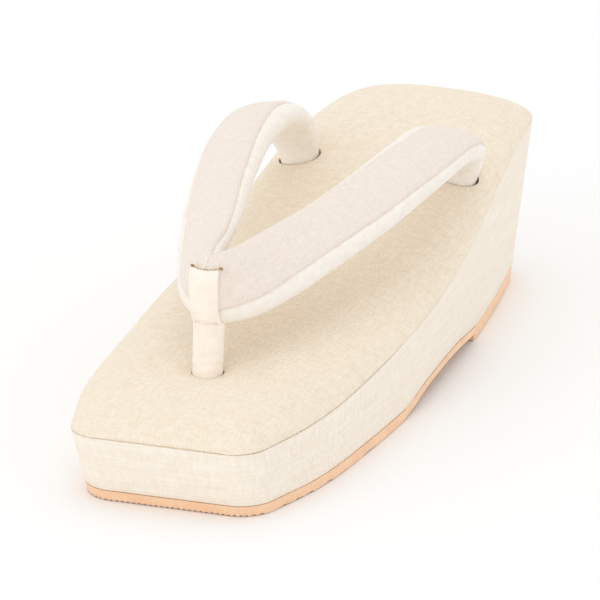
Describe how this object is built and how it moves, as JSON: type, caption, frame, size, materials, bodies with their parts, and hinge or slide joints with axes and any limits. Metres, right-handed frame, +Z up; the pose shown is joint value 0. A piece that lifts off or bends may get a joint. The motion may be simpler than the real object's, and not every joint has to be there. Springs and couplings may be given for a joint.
{
  "type": "zori sandal",
  "caption": "Wedge platform zori sandal with a padded cloth top, a padded V strap held by a toe post, cloth-covered walls and a thin rubber sole with a heel block.",
  "frame": {"origin": "on the floor under the middle of the sandal's box", "axes": "+Z up; +Y towards the heel, so the toe points along -Y; +X across, and the sandal is the same on both sides of X = 0"},
  "size_m": [0.0828, 0.24, 0.0736],
  "materials": {
    "tan_rubber": "matt moulded rubber",
    "side_cloth": "cream slub cloth with a level grain",
    "top_cloth": "cream-yellow plain weave over padding",
    "strap_cloth": "pinkish cream plain weave over padding",
    "smooth_leather": "smooth synthetic leather, low sheen"
  },
  "bodies": {
    "root": {"forefoot_outsole": "tan_rubber", "heel_block": "tan_rubber", "wedge_body": "side_cloth", "footbed": "top_cloth", "hanao_strap": "strap_cloth", "toe_post": "smooth_leather"}
  },
  "joints": []
}
